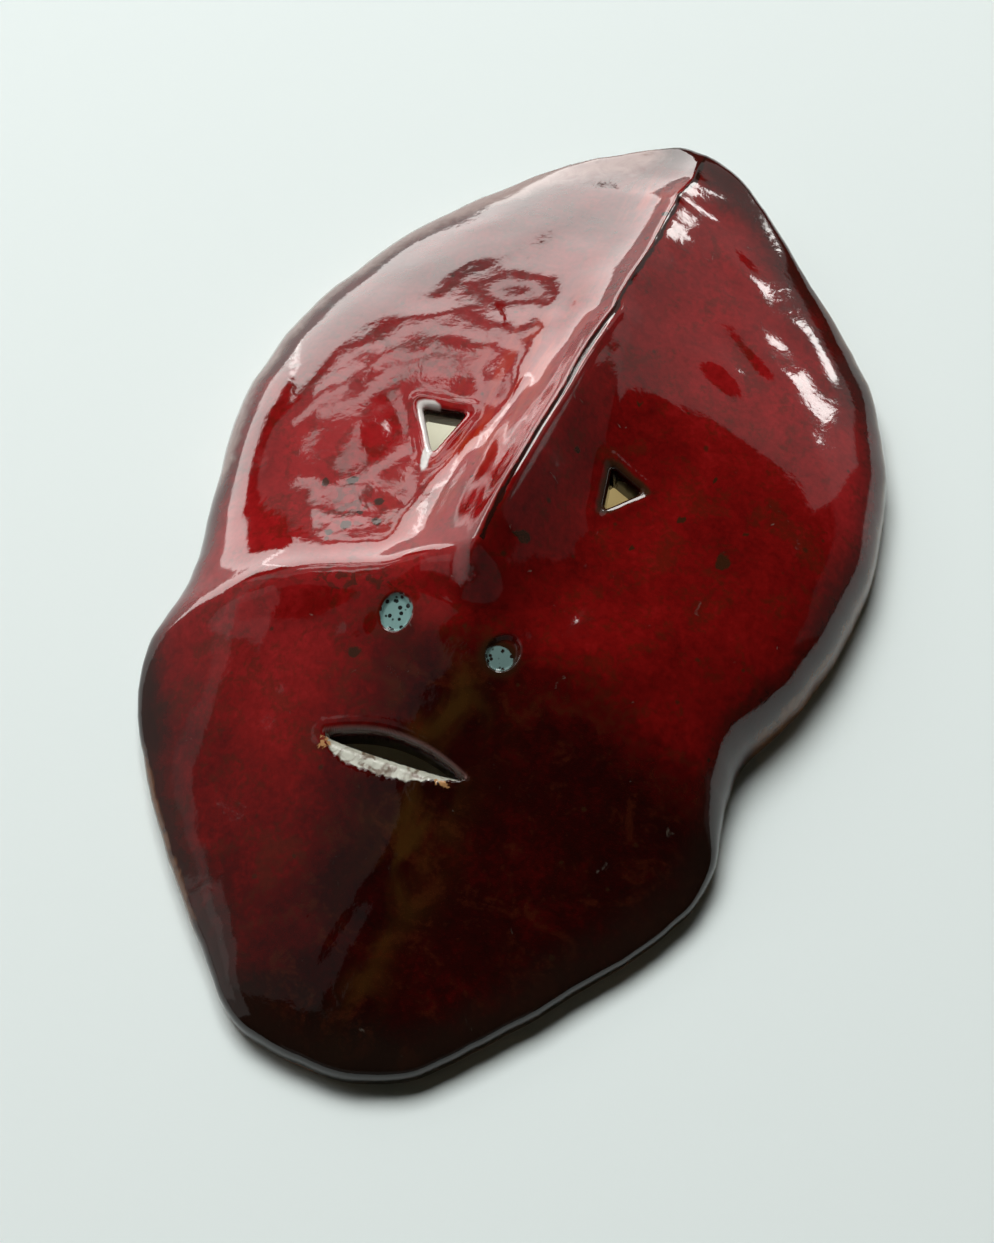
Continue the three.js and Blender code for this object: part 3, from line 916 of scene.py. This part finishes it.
# %% White lip and blue pools
LIP_WHITE = (0.46, 0.47, 0.40, 1)
LIP_GREY = (0.13, 0.09, 0.06, 1)
AMBER = (0.46, 0.24, 0.10, 1)
POOL = (0.19, 0.33, 0.32, 1)
POOL_BURN = (0.02, 0.008, 0.003, 1)
lip_edge = math_node("ADD", number("slope"), math_node("MULTIPLY", curdle, 0.5))
lip = ramp(lip_edge, 0.10, 0.22)
stain = layer(LIP_WHITE, LIP_GREY, ramp(cloud(0.0026, 4, 1.0), 0.46, 0.68))
colour = layer(colour, stain, math_node("MULTIPLY", lip, math_node("SUBTRACT", 1.0, hollow)))
crystals = ramp(math_node("ADD", number("amber"), math_node("MULTIPLY", mottle, 2.2)), 0.45, 0.70)
crystals = math_node("MULTIPLY", crystals, ramp(number("amber"), 0.05, 0.3))
colour = layer(colour, AMBER, crystals)
for name, fill, burnt in (("left_dip", 1.0, 0.25), ("right_dip", 0.6, 0.95)):
    brim = math_node("ADD", number(name), math_node("MULTIPLY", curdle, 0.25))
    halo = ramp(brim, 1.0, 1.8, burnt, 0.0)
    colour = layer(colour, POOL_BURN, halo)
    pool = math_node("MULTIPLY", ramp(brim, 0.88, 0.98, 1.0, 0.0), fill)
    fleck_edge = math_node("ADD", spots(0.0013), math_node("MULTIPLY", curdle, 0.2))
    flecks = ramp(fleck_edge, 0.27, 0.37, 1.0, 0.0)
    colour = layer(colour, layer(POOL, SPECK_AND_SHADE_BLACK, flecks), pool)
feed(shader.inputs["Base Color"], colour)

# %% [markdown]
# Glass mirrors by its index of refraction alone, so there is no separate
# coat. The roughness rises a little where the glaze is curdled and a lot on
# bare clay. A bump of a fifth of a millimetre gives the faint orange peel.

# %% Gloss and orange peel
GLASS_IOR = 1.52
PEEL_HEIGHT, PEEL_STRENGTH = 0.0002, 0.25
rough = math_node("ADD", ramp(curdle, 0.0, 0.3, 0.055, 0.11), math_node("MULTIPLY", hollow, 0.5))
rough = math_node("ADD", rough, math_node("MULTIPLY", bare, 0.55), clamp=True)
rough = math_node("ADD", rough, math_node("MULTIPLY", lip, 0.25), clamp=True)
feed(shader.inputs["Roughness"], rough)
shader.inputs["IOR"].default_value = GLASS_IOR
bump = tree.nodes.new("ShaderNodeBump")
bump.inputs["Distance"].default_value = PEEL_HEIGHT
bump.inputs["Strength"].default_value = PEEL_STRENGTH
grit_amount = math_node("ADD", 0.25, math_node("MULTIPLY", hollow, 2.0))
grit = math_node("MULTIPLY", cloud(0.0012, 2), grit_amount)
feed(bump.inputs["Height"], math_node("ADD", math_node("MULTIPLY", curdle, 0.6), grit))
feed(shader.inputs["Normal"], bump.outputs["Normal"])
mask.data.materials.append(glaze)
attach(mask, "root")
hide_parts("mask")
print("glaze nodes:", len(tree.nodes))

# %% [markdown]
# ## Table, camera and light
#
# The table is one plain sheet of pale paper with a faint green cast. It belongs to the stage and not
# to the part.

# %% Floor
PAPER = (0.815, 0.90, 0.905, 1)
TABLE_HALF_WIDTH = 3.0
table = bmesh.new()
bmesh.ops.create_grid(table, x_segments=1, y_segments=1, size=TABLE_HALF_WIDTH)
floor_mesh = bpy.data.meshes.new("table_top")
table.to_mesh(floor_mesh)
table.free()
floor = bpy.data.objects.new("table_top", floor_mesh)
bpy.context.scene.collection.objects.link(floor)
paper = bpy.data.materials.new("pale_paper")
paper.use_nodes = True
paper_shader = paper.node_tree.nodes["Principled BSDF"]
paper_shader.inputs["Base Color"].default_value = PAPER
paper_shader.inputs["Roughness"].default_value = 0.9
floor.data.materials.append(paper)

# %% [markdown]
# The camera looks down on the mask from 60 degrees, half a metre away, and
# is swung to the right of the chin. A scale of 5000 pixels a metre at the
# aim point gives the lens, and a small shift puts the mask where it lies in
# the frame.

# %% Camera
PHOTO_WIDTH, PHOTO_HEIGHT = 994, 1243
AZIMUTH, ELEVATION = math.radians(23.5), math.radians(60)
DISTANCE = 0.5
SCALE = 5000.0
back = Vector((
    math.sin(AZIMUTH) * math.cos(ELEVATION),
    -math.cos(AZIMUTH) * math.cos(ELEVATION),
    math.sin(ELEVATION),
))
AIM = Vector((0.003, -0.006, 0.0))
AIM_PIXEL = (510, 620)
camera_data = bpy.data.cameras.new("camera")
camera = bpy.data.objects.new("camera", camera_data)
bpy.context.scene.collection.objects.link(camera)
camera.location = AIM + back * DISTANCE
camera.rotation_mode = "QUATERNION"
camera.rotation_quaternion = back.to_track_quat("Z", "Y")
camera_data.sensor_fit = "VERTICAL"
camera_data.sensor_height = 24.0
camera_data.lens = camera_data.sensor_height * DISTANCE * SCALE / PHOTO_HEIGHT
camera_data.shift_x = (PHOTO_WIDTH / 2 - AIM_PIXEL[0]) / PHOTO_HEIGHT
camera_data.shift_y = (AIM_PIXEL[1] - PHOTO_HEIGHT / 2) / PHOTO_HEIGHT
bpy.context.scene.camera = camera

# %% [markdown]
# A glossy glaze shows the room it stands in. So the light is built in two
# sets. Mirrored panels are only seen in the glaze: two windows low on the
# left, a few slats of a blind above them, a bright gap straight beyond, one
# small window on the right and dim walls. Walls are nested panels, so that
# their reflection fades out. Two panels that the glaze doesn't mirror light
# the table and cast the shadow.

# %% Lights
SKY_COLOUR, SKY_STRENGTH = (1.0, 0.92, 0.62, 1), 0.02
LAMP_COLOUR = (1.0, 0.99, 0.96)
world = bpy.data.worlds.new("studio")
bpy.context.scene.world = world
world.use_nodes = True
sky = world.node_tree.nodes["Background"]
sky.inputs["Color"].default_value = SKY_COLOUR
sky.inputs["Strength"].default_value = SKY_STRENGTH
right = Vector((math.cos(AZIMUTH), math.sin(AZIMUTH), 0))
beyond = Vector((-math.sin(AZIMUTH), math.cos(AZIMUTH), 0))


def soft_box(name, turn, rise, width, height, brightness, mirrored=True, distance=2.2):
    """A glowing panel that faces the mask. turn is to the right of straight
    beyond and rise is above the table, both in degrees, as are its sizes.
    A mirrored panel is only seen in the glaze. The others only light the scene."""
    turn, rise = math.radians(turn), math.radians(rise)
    level = beyond * math.cos(turn) + right * math.sin(turn)
    place = (level * math.cos(rise) + Vector((0, 0, math.sin(rise)))) * distance
    light = bpy.data.lights.new(name, "AREA")
    light.shape = "RECTANGLE"
    light.size = 2 * distance * math.tan(math.radians(width / 2))
    light.size_y = 2 * distance * math.tan(math.radians(height / 2))
    light.energy = brightness * math.pi * light.size * light.size_y
    light.color = LAMP_COLOUR
    lamp = bpy.data.objects.new(name, light)
    bpy.context.scene.collection.objects.link(lamp)
    lamp.location = place
    lamp.rotation_mode = "QUATERNION"
    lamp.rotation_quaternion = place.to_track_quat("Z", "Y")
    lamp.visible_camera = False
    lamp.visible_glossy = mirrored
    lamp.visible_diffuse = not mirrored


def faded_box(name, turn, rise, width, height, widen, heighten, rings, brightness):
    """Panels of growing size over one another, bright in the middle."""
    for ring in range(rings):
        ring_width, ring_height = width + widen * ring, height + heighten * ring
        soft_box(f"{name}_{ring}", turn, rise, ring_width, ring_height, brightness)


soft_box("window_left", turn=-46, rise=8, width=34, height=18, brightness=5.2)
soft_box("window_right", turn=-17, rise=13, width=26, height=26, brightness=5.2)
SLATS = [
    (-14, 32, 18, 4, 4.0), (-26, 39, 16, 5, 3.2),
    (-12, 45, 16, 5, 3.2), (-26, 53, 18, 5, 2.6),
]
for slat, place_and_size in enumerate(SLATS):
    soft_box(f"slat_{slat}", *place_and_size)
soft_box("curtain", turn=-32, rise=40, width=50, height=24, brightness=0.45)
soft_box("small_window", turn=42, rise=20, width=4.5, height=4.5, brightness=13)
soft_box("bright_gap", turn=8, rise=36, width=14, height=34, brightness=12)
faded_box("right_wall", 37, 26, 15, 13, widen=6, heighten=4, rings=4, brightness=0.5)
soft_box("far_right_wall", turn=68, rise=12, width=50, height=30, brightness=0.08)
faded_box("left_wall", -78, 12, 22, 24, widen=8, heighten=8, rings=4, brightness=0.28)
soft_box("left_wall_back", turn=-102, rise=24, width=28, height=42, brightness=0.3)
faded_box("left_veil", -76, 54, 6, 8, widen=4, heighten=6, rings=8, brightness=0.13)
soft_box("back_wall", turn=180, rise=14, width=80, height=24, brightness=0.1)
soft_box("key", turn=-20, rise=62, width=34, height=28, brightness=10.2, mirrored=False, distance=2.2)
soft_box("side", turn=-50, rise=44, width=50, height=36, brightness=0.8, mirrored=False, distance=1.2)

# %% [markdown]
# Light that comes in under the shell makes the table glow in the eye holes,
# cream on the left and amber on the right. Two tiny lamps inside the hollow
# stand for it. The camera doesn't see them.

# %% Light that enters the hollow
GLOW_SIZE, GLOW_HEIGHT = 0.02, 0.010


def glow(name, x, y, colour, power):
    """A small lamp under the shell, so that the table shows in the eyes."""
    light = bpy.data.lights.new(name, "AREA")
    light.size = GLOW_SIZE
    light.energy = power
    light.color = colour
    lamp = bpy.data.objects.new(name, light)
    bpy.context.scene.collection.objects.link(lamp)
    lamp.location = (x, y, GLOW_HEIGHT)
    lamp.visible_camera = False
    lamp.visible_glossy = False


glow("left_eye_glow", -0.027, 0.034, (1.0, 0.90, 0.70), 0.0019)
glow("right_eye_glow", 0.010, 0.030, (1.0, 0.68, 0.28), 0.0008)
bpy.context.scene.view_settings.view_transform = "Standard"
